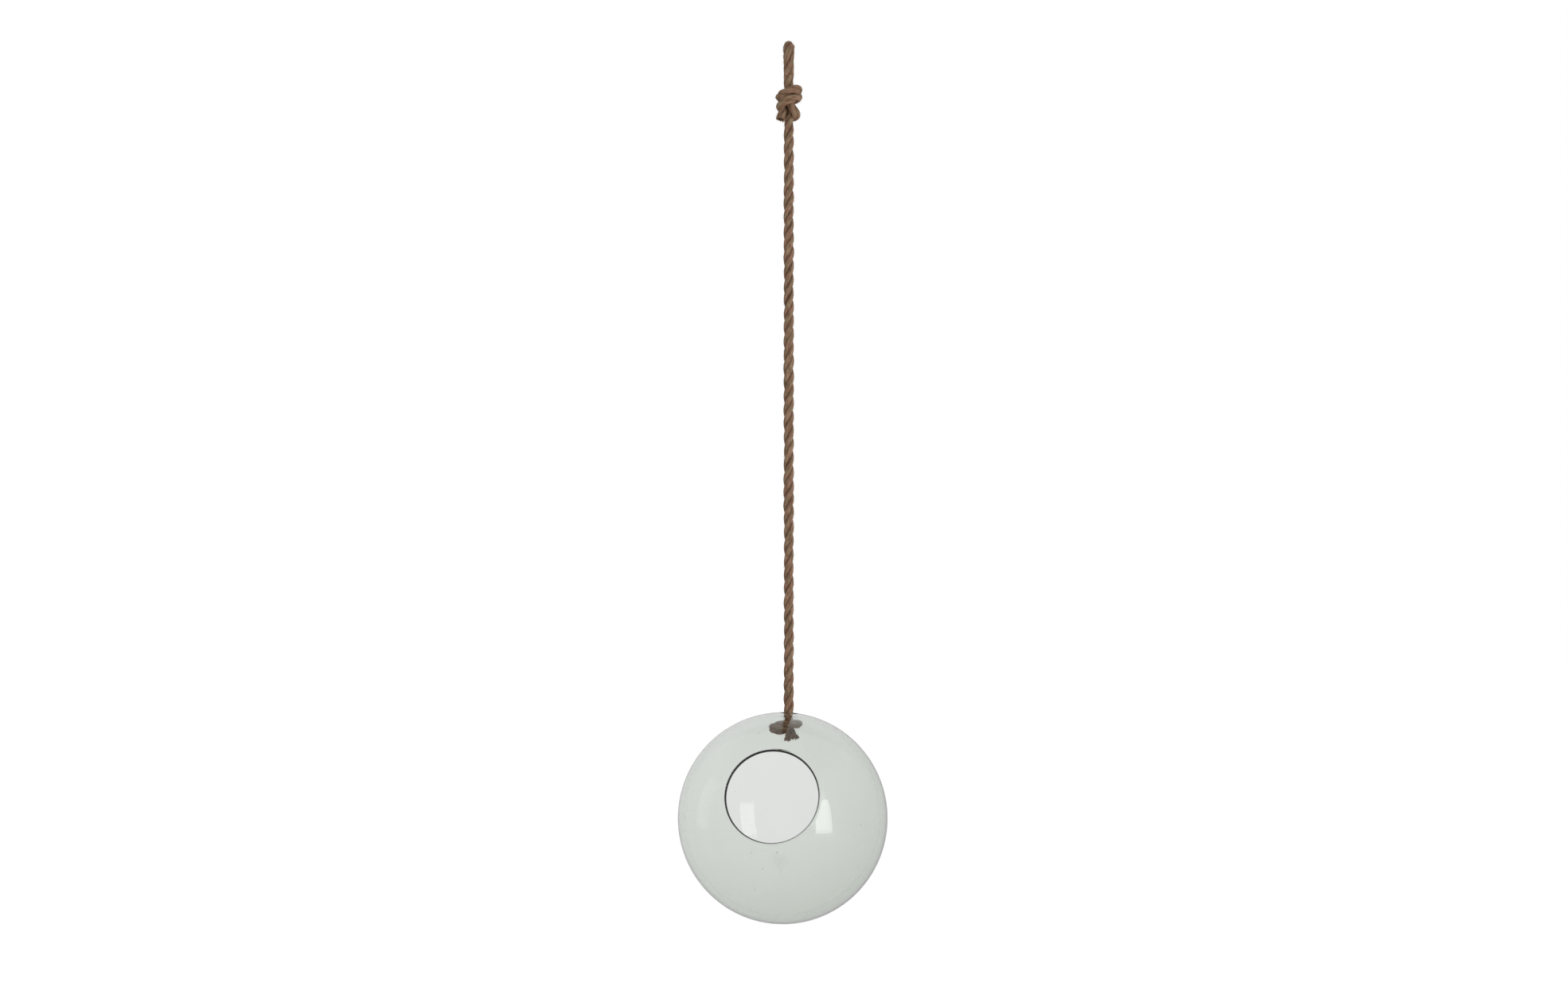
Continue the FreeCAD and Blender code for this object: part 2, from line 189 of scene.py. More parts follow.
# How far the strands spread at the rope's two cut ends, as a share, and over what length.
OPENING_SHARE = 0.25
STOPPER_OPENING = 9 * MM
KNOT_OPENING = 5 * MM

# The frayed yarns of a cut end. Each starts a golden turn from the one before, give or take
# the slack, within the rope's width times the reach. It leans out, curls, and tapers.
GOLDEN_TURN = 0.618
FRAY_TURN_SLACK = 0.1
FRAY_REACH_SHARE = 0.34
FRAY_ROOT = 1.5 * MM
FRAY_LEAN = 0.2
FRAY_CURL = 0.12
FRAY_SHORTEST_SHARE = 0.65
FRAY_LENGTH_SPREAD = 0.5
FRAY_THIN = 0.52 * MM
FRAY_THICKER = 0.16 * MM
FRAY_TAPER = 0.55
FRAY_CROWN = 0.85

# How far out on the rope its strands carry loose fibres, in rope radii, how much paler those
# are than the palest fibre, and how their lengths and the flecks' radii spread, as shares.
FUZZ_CROWN = 0.84
FUZZ_PALER = 1.25
FIBRE_SIZES = (0.45, 1.25)
FLECK_SIZES = (0.4, 1.2)

# How finely the glass ball is made, and how far its rows and columns draw together opposite
# the mouth, where they would lie furthest apart.
BALL_ROWS = 220
BALL_COLUMNS = 210
MOUTH_RIM_ROWS = 9
HOLE_RIM_ROWS = 5
ROWS_DRAWN = 0.3
COLUMNS_DRAWN = 0.6

# How far the rims stand out and how deep the flecks lie, as shares of the wall, and how far
# the hole's inner end follows the hollow up, as a share of the hollow's rise. The mouth's edge
# is set back by its rim's depth divided by the last.
MOUTH_RIM_SHARE = 0.22
HOLE_RIM_SHARE = 0.4
FLECK_DEPTH_SHARE = 0.35
HOLE_LEAN_SHARE = 0.8
MOUTH_SETBACK = 3

# How bright the background looks to the camera, in a reflection and through the glass, where 1
# is white. In a reflection the world darkens towards the ceiling: as the height of the
# direction goes through the first pair, its level goes through the second. The floor glows
# that much on top of the light that it throws back, of which the glass shows none.
WORLD_SEEN = {"camera": 1.0, "transmission": 0.81}
CEILING = {"before": (0.55, 0.9), "after": (0.8, 0.25)}
FLOOR_SEEN = {"camera": 0.6, "glossy": 0.3, "transmission": 0.85}

# The soft lamps: azimuth and elevation in degrees from the ball's middle, distance, width,
# height, brightness and the rays that see them. The inner key stands for the key inside the
# glass, where it shows only as a mirror image.
LAMPS = {
    "key": (44, -2, 1.3, 0.42, 1.2, 3.9, ("diffuse", "glossy")),
    "inner_key": (44, 1.5, 1.2, 0.39, 1.2, 1.7, ("transmission",)),
    "side_fill": (-95, 5, 1.4, 0.5, 1.2, 0.4, ("glossy",)),
}

# The numbers that scramble a place in the noise's lattice.
NOISE_STEPS = (127.1, 311.7, 74.7)
NOISE_STRETCH = 43758.5453


def length_property(name, description, default):
    """A size in metres."""
    return FloatProperty(name=name, description=description, default=default, unit="LENGTH")


def colour_property(name, description, default):
    """A colour."""
    return FloatVectorProperty(
        name=name, description=description, default=default, subtype="COLOR", min=0.0, max=1.0
    )


class VaseRope(PropertyGroup):
    """The jute rope's make and colours."""

    thickness: length_property(
        name="Thickness", description="The rope's full width", default=0.008
    )
    lay: length_property(
        name="Lay",
        description="How far along the rope one strand makes a full turn",
        default=0.0295,
    )
    helix_share: FloatProperty(
        name="Strand Offset",
        description="How far a strand's middle lies from the rope's, in rope radii",
        default=0.38,
    )
    strand_share: FloatProperty(
        name="Strand Radius",
        description="A strand's radius, in rope radii",
        default=0.57,
    )
    yarns: IntProperty(
        name="Yarns",
        description="Yarns that show round one strand",
        default=8,
        min=3,
    )
    yarn_relief: FloatProperty(
        name="Yarn Relief",
        description="How far the yarns stand out, in strand radii",
        default=0.09,
    )
    knot_press: FloatProperty(
        name="Knot Press",
        description="How far the strands of a pulled knot sink into each other, in rope radii",
        default=0.07,
    )
    fuzz_length: length_property(
        name="Fuzz Length", description="How far a loose fibre reaches", default=0.0017
    )
    fuzz_density: FloatProperty(
        name="Fuzz Density",
        description="Loose fibres on a square metre of strand",
        default=150000.0,
    )
    fibre_light: colour_property(
        name="Light Fibre", description="The palest fibres' colour", default=(0.5, 0.345, 0.24)
    )
    fibre_brown: colour_property(
        name="Brown Fibre", description="Most fibres' colour", default=(0.2, 0.112, 0.068)
    )
    # Painted shade: the colour that stands for the shade down in the grooves between the strands.
    groove_shade_colour: colour_property(
        name="Painted Groove Shade",
        description="The colour down between the strands",
        default=(0.075, 0.034, 0.016),
    )
    patch_olive: colour_property(
        name="Olive Patches",
        description="What the greener patches do to the fibres' colour",
        default=(0.86, 0.93, 0.84),
    )
    patch_red: colour_property(
        name="Red Patches",
        description="What the redder patches do to the fibres' colour",
        default=(1.0, 0.86, 0.84),
    )


class VaseGlass(PropertyGroup):
    """The blown ball's make and tint."""

    wall: length_property(name="Wall", description="The glass's mean thickness", default=0.0042)
    cavity_left: length_property(
        name="Hollow Left",
        description="How far the hollow lies left of the ball's middle",
        default=0.00071,
    )
    cavity_up: length_property(
        name="Hollow Up",
        description="How far the hollow lies above the ball's middle",
        default=0.0015,
    )
    mouth_radius: length_property(
        name="Mouth Radius", description="The clear radius of the side mouth", default=0.0316
    )
    mouth_rise: FloatProperty(
        name="Mouth Rise",
        description="How far the mouth looks up",
        default=math.radians(20.7),
        subtype="ANGLE",
    )
    mouth_left: FloatProperty(
        name="Mouth Left",
        description="How far the mouth looks to the left",
        default=math.radians(6.7),
        subtype="ANGLE",
    )
    hole_radius: length_property(
        name="Hole Radius", description="The clear radius of the rope's hole", default=0.006
    )
    tint: colour_property(
        name="Tint", description="The glass's colour in depth", default=(0.47, 0.56, 0.45)
    )
    tint_density: FloatProperty(
        name="Tint Density",
        description="How fast the tint deepens with the glass's thickness, in 1/m",
        default=62.0,
    )
    seed_radius: length_property(
        name="Seed Radius", description="The radius of a common fleck", default=0.00036
    )
    seeds: IntProperty(
        name="Seeds",
        description="Small flecks and bubbles in the wall",
        default=46,
        min=0,
    )


class VaseStage(PropertyGroup):
    """The floor, the light and the camera."""

    floor_drop: length_property(
        name="Floor Drop", description="How far the floor lies under the ball", default=0.13
    )
    camera_distance: length_property(
        name="Camera Distance", description="From the camera to the rope", default=1.56
    )
    camera_side: length_property(
        name="Camera Side", description="The camera's place along X", default=-0.0034
    )
    camera_height: length_property(
        name="Camera Height", description="The camera's place along Z", default=-0.3159
    )
    ambient: FloatProperty(
        name="Ambient Light",
        description="The light that comes evenly from all round",
        default=0.55,
    )


def rope_settings():
    return bpy.context.scene.vase_rope


def glass_settings():
    return bpy.context.scene.vase_glass


def stage_settings():
    return bpy.context.scene.vase_stage


# Small tools


def link_object(name, data):
    """A new object of that name in the scene."""
    found = bpy.data.objects.new(name, data)
    bpy.context.scene.collection.objects.link(found)
    return found


def mesh_object(name, points, faces, materials):
    """A smooth mesh object from points and faces."""
    mesh = bpy.data.meshes.new(name)
    mesh.from_pydata(points.tolist(), [], faces)
    for material in materials:
        mesh.materials.append(material)
    mesh.shade_smooth()
    return link_object(name, mesh)


def set_sockets(tree, node, values):
    """Sets a node's inputs, or links those that are given another node's output."""
    for key, value in values.items():
        if isinstance(value, bpy.types.NodeSocket):
            tree.links.new(value, node.inputs[key])
        else:
            node.inputs[key].default_value = value


def add_node(tree, kind, values=None, **settings):
    """A new node with its settings, and its inputs set or linked."""
    node = tree.nodes.new(kind)
    for name, setting in settings.items():
        setattr(node, name, setting)
    set_sockets(tree, node, values or {})
    return node


def map_range(tree, value, before=(0.0, 1.0), after=(0.0, 1.0), **settings):
    """A number taken from the range before to the range after, whose ends may be outputs."""
    names = ("Value", "From Min", "From Max", "To Min", "To Max")
    values = dict(zip(names, (value, *before, *after)))
    return add_node(tree, "ShaderNodeMapRange", values, **settings).outputs["Result"]


def mix_colours(tree, factor, first, second, blend="MIX"):
    """A colour mixed from two others, each of them a colour or an output."""
    values = {"Factor": factor}
    for key, colour in (("A", first), ("B", second)):
        plain = not isinstance(colour, bpy.types.NodeSocket)
        values[key] = (*colour, 1) if plain else colour
    node = add_node(tree, "ShaderNodeMix", values, data_type="RGBA", blend_type=blend)
    return node.outputs["Result"]


def noise_over(tree, scale, detail=2.0):
    """Noise from 0 to 1 over a piece's own coordinates."""
    place = tree.nodes.new("ShaderNodeTexCoord")
    values = {"Vector": place.outputs["Object"], "Scale": scale, "Detail": detail}
    return add_node(tree, "ShaderNodeTexNoise", values).outputs["Fac"]


def multiply(tree, first, second):
    """Two numbers or outputs multiplied."""
    node = add_node(tree, "ShaderNodeMath", {0: first, 1: second}, operation="MULTIPLY")
    return node.outputs["Value"]


def random_number(tree, low, high, seed):
    """A random number for each point, which the node's one enabled output of its kind gives."""
    values = {"Min": low, "Max": high, "Seed": seed}
    node = add_node(tree, "FunctionNodeRandomValue", values, data_type="FLOAT")
    return next(socket for socket in node.outputs if socket.enabled and socket.type == "VALUE")


def new_tree(name, inputs, output):
    """A Geometry Nodes tree with inputs of those kinds, what they give, and its output node."""
    tree = bpy.data.node_groups.new(name, "GeometryNodeTree")
    for label, kind in inputs.items():
        tree.interface.new_socket(label, in_out="INPUT", socket_type="NodeSocket" + kind)
    tree.interface.new_socket(output, in_out="OUTPUT", socket_type="NodeSocketGeometry")
    return tree, tree.nodes.new("NodeGroupInput").outputs, tree.nodes.new("NodeGroupOutput")


def plant(tree, values, material):
    """Copies of one instance on points, made real and given their material."""
    copies = add_node(tree, "GeometryNodeInstanceOnPoints", values)
    real = add_node(
        tree, "GeometryNodeRealizeInstances", {"Geometry": copies.outputs["Instances"]}
    )
    values = {"Geometry": real.outputs["Geometry"], "Material": material}
    return add_node(tree, "GeometryNodeSetMaterial", values).outputs["Geometry"]


def set_inputs(modifier, values):
    """Sets a node modifier's inputs by the names that its tree gives them."""
    for item in modifier.node_group.interface.items_tree:
        if item.item_type == "SOCKET" and item.in_out == "INPUT" and item.name in values:
            modifier[item.identifier] = values[item.name]


def frozen(holder, name):
    """The plain mesh that an object's curve or modifiers make, under that name."""
    bpy.context.view_layer.update()
    depsgraph = bpy.context.evaluated_depsgraph_get()
    mesh = bpy.data.meshes.new_from_object(holder.evaluated_get(depsgraph))
    mesh.name = name
    return mesh


def grow(piece, tree, values):
    """Runs a node tree on a piece, and keeps what it makes as the piece's own plain mesh."""
    modifier = piece.modifiers.new(tree.name, "NODES")
    modifier.node_group = tree
    set_inputs(modifier, values)
    mesh = frozen(piece, piece.name)
    piece.modifiers.remove(modifier)
    old = piece.data
    piece.data = mesh
    bpy.data.meshes.remove(old)
    mesh.name = piece.name
    return piece


def value_noise(x, y, seed):
    """Smooth noise from 0 to 1 on two arrays, the same each time."""

    def lattice(column, row):
        by_column, by_row, by_seed = NOISE_STEPS
        mixed = np.sin(column * by_column + row * by_row + seed * by_seed) * NOISE_STRETCH
        return mixed - np.floor(mixed)

    x0 = np.floor(x)
    y0 = np.floor(y)
    fx = x - x0
    fy = y - y0
    fx = fx * fx * (3 - 2 * fx)
    fy = fy * fy * (3 - 2 * fy)
    low = lattice(x0, y0) * (1 - fx) + lattice(x0 + 1, y0) * fx
    high = lattice(x0, y0 + 1) * (1 - fx) + lattice(x0 + 1, y0 + 1) * fx
    return low * (1 - fy) + high * fy


# The rope


def spline_points(name, points):
    """Points along the smooth spline whose control points are given."""
    curve = bpy.data.curves.new(name, "CURVE")
    curve.dimensions = "3D"
    curve.resolution_u = ROUTE_RESOLUTION
    spline = curve.splines.new("NURBS")
    spline.points.add(len(points) - 1)
    for target, point in zip(spline.points, points):
        target.co = (*point, 1.0)
    spline.order_u = 3
    spline.use_endpoint_u = True
    spline.resolution_u = ROUTE_RESOLUTION
    holder = link_object(name, curve)
    mesh = frozen(holder, name)
    found = np.array([vertex.co for vertex in mesh.vertices])
    bpy.data.objects.remove(holder)
    bpy.data.meshes.remove(mesh)
    return found


def rope_line():
    """The rope's centreline, evenly spaced, with its widths and a frame that doesn't twist."""
    line = spline_points("rope_route", [[value * MM for value in spot[:3]] for spot in ROUTE])
    width = spline_points("rope_width", [(spot[3], 0, 0) for spot in ROUTE])[:, 0]
    gone = np.concatenate([[0], np.cumsum(np.linalg.norm(np.diff(line, axis=0), axis=1))])
    rows = int(gone[-1] / ROW_STEP)
    along = np.linspace(0, gone[-1], rows)
    points = np.column_stack([np.interp(along, gone, line[:, axis]) for axis in range(3)])
    width = np.interp(along, gone, width)
    ways = np.gradient(points, axis=0)
    ways /= np.linalg.norm(ways, axis=1)[:, None]
    across = np.zeros_like(points)
    side = Vector(ways[0]).orthogonal().normalized()
    for row, way in enumerate(ways):
        way = Vector(way)
        side = (side - way * side.dot(way)).normalized()
        across[row] = side
    near_stopper_end = np.clip(1 - along / STOPPER_OPENING, 0, 1)
    near_knot_end = np.clip(1 - (gone[-1] - along) / KNOT_OPENING, 0, 1)
    return {
        "along": along,
        "points": points,
        "width": width,
        "open": 1 + OPENING_SHARE * near_stopper_end**2 + OPENING_SHARE * near_knot_end**2,
        "across": across,
        "over": np.cross(ways, across),
    }


def row_near(line, spot, first=0, last=None):
    """The row of the line that lies nearest to a spot given in millimetres."""
    away = np.linalg.norm(line["points"][first:last] - np.array(spot) * MM, axis=1)
    return first + int(away.argmin())


def wander(along, least, spread, wave, seed):
    """Shares that wander slowly along the rope."""
    return least + spread * value_noise(along / wave, along * 0, seed)


def strand_shape(line, rows, strand):
    """One strand's rings of points, their fibre coordinates and how far out they lie."""
    rope = rope_settings()
    along = line["along"][rows]
    radius = rope.thickness / 2 * line["width"][rows]
    radius = radius * wander(along, *WIDTH_WANDER, seed=31)
    turn = 2 * math.pi * (along / rope.lay + strand / STRANDS)
    turn = turn + TURN_WANDER * (value_noise(along / TURN_WAVE, along * 0, seed=strand + 3) - 0.5)
    press = rope.knot_press * np.clip((1 - line["width"][rows]) / FULL_PRESS, 0, 1)
    helix = radius * (rope.helix_share - press) * line["open"][rows]
    helix = helix * wander(along, *OFFSET_WANDER, seed=strand + 7)
    thick = radius * (rope.strand_share + press)
    thick = thick * wander(along, *STRAND_WANDER, seed=strand + 11)
    round_it = math.pi + 2 * math.pi * np.arange(SIDES) / SIDES
    angle = turn[:, None] + round_it[None, :]
    level = along[:, None] + angle * 0
    yarn = angle * rope.yarns / (2 * math.pi)
    yarn = yarn + YARN_WANDER * value_noise(level / YARN_WAVE, angle * 0, seed=strand + 17)
    hump = 1 - (2 * (yarn - np.floor(yarn)) - 1) ** 2
    fibre = value_noise(angle * FIBRES_PER_RADIAN, level / FIBRE_WAVE, seed=strand + 23)
    relief = 1 + rope.yarn_relief * (hump - YARN_MEAN_SHARE) + FIBRE_WANDER * (fibre - 0.5)
    reach = thick[:, None] * relief
    across = line["across"][rows]
    over = line["over"][rows]
    middle = helix[:, None] * (np.cos(turn)[:, None] * across + np.sin(turn)[:, None] * over)
    rim = reach[..., None] * (
        np.cos(angle)[..., None] * across[:, None, :] + np.sin(angle)[..., None] * over[:, None, :]
    )
    away = middle[:, None, :] + rim
    points = line["points"][rows][:, None, :] + away
    crown = np.linalg.norm(away, axis=2) / radius[:, None]
    fibre_x = FIBRE_TUBE * np.cos(angle) + strand * FIBRE_TUBES_APART
    fibre_y = FIBRE_TUBE * np.sin(angle)
    return points, np.stack([fibre_x, fibre_y, level], axis=2), crown


def ring_faces(rows, sides, first, closed_rows=False):
    """Quads between rings of points, and a cap on each end of an open run."""
    faces = []
    pairs = [(row, row + 1) for row in range(rows - 1)]
    if closed_rows:
        pairs.append((rows - 1, 0))
    for low, high in pairs:
        for side in range(sides):
            other = (side + 1) % sides
            corners = ((low, side), (low, other), (high, other), (high, side))
            faces.append(tuple(first + row * sides + column for row, column in corners))
    if not closed_rows:
        faces.append(tuple(first + side for side in reversed(range(sides))))
        faces.append(tuple(first + (rows - 1) * sides + side for side in range(sides)))
    return faces


def yarn_end(start, way, bend, length, radius):
    """One loose yarn end that leaves a cut rope end and curls."""
    way = Vector(way).normalized()
    side = way.orthogonal().normalized()
    over = way.cross(side)
    points = []
    for row in range(YARN_ROWS):
        share = row / (YARN_ROWS - 1)
        middle = Vector(start) + way * length * share + Vector(bend) * length * share**2
        width = radius * (1 - FRAY_TAPER * share**3)
        for step in range(YARN_SIDES):
            angle = 2 * math.pi * step / YARN_SIDES
            points.append(middle + (side * math.cos(angle) + over * math.sin(angle)) * width)
    return np.array([tuple(point) for point in points])


def frayed_yarns(line, row, outward, count, length, spread, seed):
    """The loose yarn ends of a cut end of the rope, which lies at that row."""
    random = np.random.default_rng(seed)
    rope = rope_settings()
    across = line["across"][row]
    over = line["over"][row]
    way = np.cross(across, over) * outward
    reach = rope.thickness * FRAY_REACH_SHARE * line["width"][row] * line["open"][row]
    found = []
    for number in range(count):
        angle = 2 * math.pi * (number * GOLDEN_TURN + random.random() * FRAY_TURN_SLACK)
        out = math.sqrt((number + 0.5) / count)
        lean = across * math.cos(angle) + over * math.sin(angle)
        start = line["points"][row] + lean * out * reach - way * FRAY_ROOT
        bend = lean * spread * out + random.normal(0, FRAY_CURL, 3)
        loose = length * (FRAY_SHORTEST_SHARE + FRAY_LENGTH_SPREAD * random.random())
        radius = FRAY_THIN + FRAY_THICKER * random.random()
        found.append(yarn_end(start, way + lean * FRAY_LEAN * out, bend, loose, radius))
    return found


def rope_piece(name, line, first, last, step, frays=()):
    """A stretch of laid rope between two rows, with its fibre attributes and fuzz."""
    rows = np.arange(first, last + 1, step)
    if rows[-1] != last:
        rows = np.append(rows, last)
    points = []
    coordinates = []
    crowns = []
    faces = []
    count = 0
    for strand in range(STRANDS):
        found, coordinate, crown = strand_shape(line, rows, strand)
        faces += ring_faces(len(rows), SIDES, count)
        count += len(rows) * SIDES
        points.append(found.reshape(-1, 3))
        coordinates.append(coordinate.reshape(-1, 3))
        crowns.append(crown.reshape(-1))
    for yarn in frays:
        faces += ring_faces(YARN_ROWS, YARN_SIDES, count)
        count += len(yarn)
        points.append(yarn)
        coordinates.append(yarn)
        crowns.append(np.full(len(yarn), FRAY_CROWN))
    piece = mesh_object(name, np.concatenate(points), faces, [jute_material()])
    mesh = piece.data
    mesh.attributes.new("fibre", "FLOAT_VECTOR", "POINT").data.foreach_set(
        "vector", np.concatenate(coordinates).astype(np.float32).ravel()
    )
    mesh.attributes.new("crown", "FLOAT", "POINT").data.foreach_set(
        "value", np.concatenate(crowns).astype(np.float32)
    )
    return with_fuzz(piece)


def loose_fibre(tree):
    """One bowed, tapering fibre of length 1."""
    bow = add_node(
        tree,
        "GeometryNodeCurveQuadraticBezier",
        {
            "Resolution": 4,
            "Start": (0.0, 0.0, -0.1),
            "Middle": (0.35, 0.0, 0.42),
            "End": (1.0, 0.12, 0.38),
        },
    )
    place = tree.nodes.new("GeometryNodeSplineParameter")
    thin = map_range(tree, place.outputs["Factor"], after=(1.0, 0.35))
    taper = add_node(
        tree, "GeometryNodeSetCurveRadius", {"Curve": bow.outputs["Curve"], "Radius": thin}
    )
    section = add_node(
        tree, "GeometryNodeCurvePrimitiveCircle", {"Resolution": 3, "Radius": 0.026}
    )
    values = {
        "Curve": taper.outputs["Curve"],
        "Profile Curve": section.outputs["Curve"],
        "Fill Caps": True,
    }
    return add_node(tree, "GeometryNodeCurveToMesh", values).outputs["Mesh"]


def fuzz_tree():
    """Loose fibres on the outside of the strands."""
    name = "jute_fuzz"
    if name in bpy.data.node_groups:
        return bpy.data.node_groups[name]
    inputs = {
        "Rope": "Geometry",
        "Density": "Float",
        "Length": "Float",
        "Seed": "Int",
        "Material": "Material",
    }
    tree, given, end = new_tree(name, inputs, "Rope")
    crown = add_node(
        tree, "GeometryNodeInputNamedAttribute", {"Name": "crown"}, data_type="FLOAT"
    )
    outside = add_node(
        tree,
        "FunctionNodeCompare",
        {"A": crown.outputs["Attribute"], "B": FUZZ_CROWN},
        data_type="FLOAT",
        operation="GREATER_THAN",
    )
    scatter = add_node(
        tree,
        "GeometryNodeDistributePointsOnFaces",
        {
            "Mesh": given["Rope"],
            "Selection": outside.outputs["Result"],
            "Density": given["Density"],
            "Seed": given["Seed"],
        },
    )
    turn = random_number(tree, 0.0, 2 * math.pi, given["Seed"])
    about = add_node(
        tree, "FunctionNodeAxisAngleToRotation", {"Axis": (0.0, 0.0, 1.0), "Angle": turn}
    )
    rotate = add_node(
        tree,
        "FunctionNodeRotateRotation",
        {"Rotation": scatter.outputs["Rotation"], "Rotate By": about.outputs["Rotation"]},
        rotation_space="LOCAL",
    )
    values = {
        "Points": scatter.outputs["Points"],
        "Instance": loose_fibre(tree),
        "Rotation": rotate.outputs["Rotation"],
        "Scale": multiply(tree, random_number(tree, *FIBRE_SIZES, given["Seed"]), given["Length"]),
    }
    fibres = plant(tree, values, given["Material"])
    join = add_node(tree, "GeometryNodeJoinGeometry", {"Geometry": fibres})
    tree.links.new(given["Rope"], join.inputs["Geometry"])
    tree.links.new(join.outputs["Geometry"], end.inputs["Rope"])
    return tree


def with_fuzz(piece):
    """The same rope piece with loose fibres on it, as one plain mesh."""
    rope = rope_settings()
    values = {
        "Density": rope.fuzz_density,
        "Length": rope.fuzz_length,
        "Seed": 5,
        "Material": fuzz_material(),
    }
    return grow(piece, fuzz_tree(), values)


# The glass ball


def shell_directions(mouth, mouth_angle, hole, hole_angle, rows, columns):
    """Directions from the ball's middle, on rows that run from the mouth's edge to the hole's.

    Seen as circles in the plane of one complex number, both edges become concentric, so
    each row closes round both openings and the ball has no pole and no seam.
    """
    up = Vector(mouth).normalized()
    towards = Vector(hole).normalized()
    spread = up.angle(towards)
    side = (towards - up * up.dot(towards)).normalized()
    over = up.cross(side)
    edge = math.tan(mouth_angle / 2)
    near = math.tan((spread - hole_angle) / 2)
    far = math.tan((spread + hole_angle) / 2)
    middle = (near + far) / 2
    reach = (far - near) / 2
    total = (edge**2 + middle**2 - reach**2) / middle
    root = math.sqrt(total**2 - 4 * edge**2)
    low = (total - root) / 2
    high = (total + root) / 2
    first = math.log((edge - low) / (high - edge))
    last = math.log((near - low) / (high - near))
    back = -first / (last - first)
    away = np.linspace(0, 1, rows) - back
    share = away / np.where(away < 0, back, 1 - back)
    share = (1 - ROWS_DRAWN) * share + ROWS_DRAWN * share * np.abs(share)
    level = share * np.where(away < 0, -first, last)
    turn = -2 * math.pi * (np.arange(columns) + 0.5) / columns
    turn = turn - COLUMNS_DRAWN * np.sin(turn)
    w = np.exp(level[:, None] + 1j * turn[None, :])
    z = (w * high - low) / (w - 1)
    size = np.abs(z) ** 2
    found = (
        2 * z.real[..., None] * np.array(side)
        + 2 * z.imag[..., None] * np.array(over)
        + (1 - size)[..., None] * np.array(up)
    )
    return found / (1 + size)[..., None]


def rim_rows(outer, outer_next, inner, inner_next, depth, count):
    """Rows that close the wall round an opening with a rounded, fire-polished rim."""
    way = (outer - outer_next) + (inner - inner_next)
    wall = outer - inner
    wall_way = wall / np.linalg.norm(wall, axis=1)[:, None]
    way -= wall_way * (way * wall_way).sum(axis=1)[:, None]
    way /= np.linalg.norm(way, axis=1)[:, None]
    rows = []
    for step in range(1, count + 1):
        angle = math.pi * step / (count + 1)
        rows.append(
            (outer + inner) / 2 + wall / 2 * math.cos(angle) + way * depth * math.sin(angle)
        )
    return rows


def ball_frame():
    """The ball's middle and radius, as the frame has them."""
    low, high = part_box("glass_globe")
    radius = (high.x - low.x) / 2
    return Vector(((low.x + high.x) / 2, high.y - radius, (low.z + high.z) / 2)), radius


def mouth_way():
    """Which way the mouth looks."""
    glass = glass_settings()
    level = math.cos(glass.mouth_rise)
    return Vector(
        (
            -math.sin(glass.mouth_left) * level,
            -math.cos(glass.mouth_left) * level,
            math.sin(glass.mouth_rise),
        )
    )


def globe_mesh(name):
    """The hollow ball: outer wall, hole rim, inner wall and mouth rim as one closed grid."""
    glass = glass_settings()
    centre, radius = ball_frame()
    hollow = Vector((-glass.cavity_left, 0.0, glass.cavity_up))
    inside = radius - glass.wall
    mouth_depth = glass.wall * MOUTH_RIM_SHARE
    hole_depth = glass.wall * HOLE_RIM_SHARE
    mouth_angle = math.asin(glass.mouth_radius / inside) + mouth_depth / radius / MOUTH_SETBACK
    outer_hole = Vector((-centre.x, -centre.y, math.sqrt(radius**2 - centre.xy.length_squared)))
    inner_hole = outer_hole.copy()
    inner_hole.z += glass.cavity_up * HOLE_LEAN_SHARE - glass.wall
    ways = [
        shell_directions(
            mouth_way(),
            mouth_angle,
            hole,
            math.asin((glass.hole_radius + hole_depth) / reach),
            BALL_ROWS,
            BALL_COLUMNS,
        )
        for hole, reach in ((outer_hole, radius), (inner_hole, inside))
    ]
    outer = ways[0] * radius
    lean = ways[1] @ np.array(hollow)
    reach = lean + np.sqrt(lean**2 + inside**2 - hollow.length_squared)
    inner = ways[1] * reach[..., None]
    hole_rim = rim_rows(outer[-1], outer[-2], inner[-1], inner[-2], hole_depth, HOLE_RIM_ROWS)
    mouth_rim = rim_rows(inner[0], inner[1], outer[0], outer[1], mouth_depth, MOUTH_RIM_ROWS)
    grid = np.concatenate([outer, np.array(hole_rim), inner[::-1], np.array(mouth_rim)])
    points = grid.reshape(-1, 3) + np.array(centre)
    faces = ring_faces(len(grid), BALL_COLUMNS, 0, closed_rows=True)
    return mesh_object(name, points, faces, [glass_material()])


def seeds_tree():
    """Flecks and seeds scattered inside a wall, under its surface."""
    inputs = {
        "Wall": "Geometry",
        "Density": "Float",
        "Radius": "Float",
        "Depth": "Float",
        "Seed": "Int",
        "Material": "Material",
    }
    tree, given, end = new_tree("glass_seeds", inputs, "Seeds")
    values = {"Mesh": given["Wall"], "Density": given["Density"], "Seed": given["Seed"]}
    scatter = add_node(tree, "GeometryNodeDistributePointsOnFaces", values)
    inward = add_node(
        tree,
        "ShaderNodeVectorMath",
        {0: scatter.outputs["Normal"], "Scale": multiply(tree, given["Depth"], -1.0)},
        operation="SCALE",
    )
    sink = add_node(
        tree,
        "GeometryNodeSetPosition",
        {"Geometry": scatter.outputs["Points"], "Offset": inward.outputs["Vector"]},
    )
    grain = add_node(tree, "GeometryNodeMeshIcoSphere", {"Radius": 1.0, "Subdivisions": 2})
    values = {
        "Points": sink.outputs["Geometry"],
        "Instance": grain.outputs["Mesh"],
        "Scale": multiply(tree, random_number(tree, *FLECK_SIZES, given["Seed"]), given["Radius"]),
    }
    seeds = plant(tree, values, given["Material"])
    tree.links.new(seeds, end.inputs["Seeds"])
    return tree


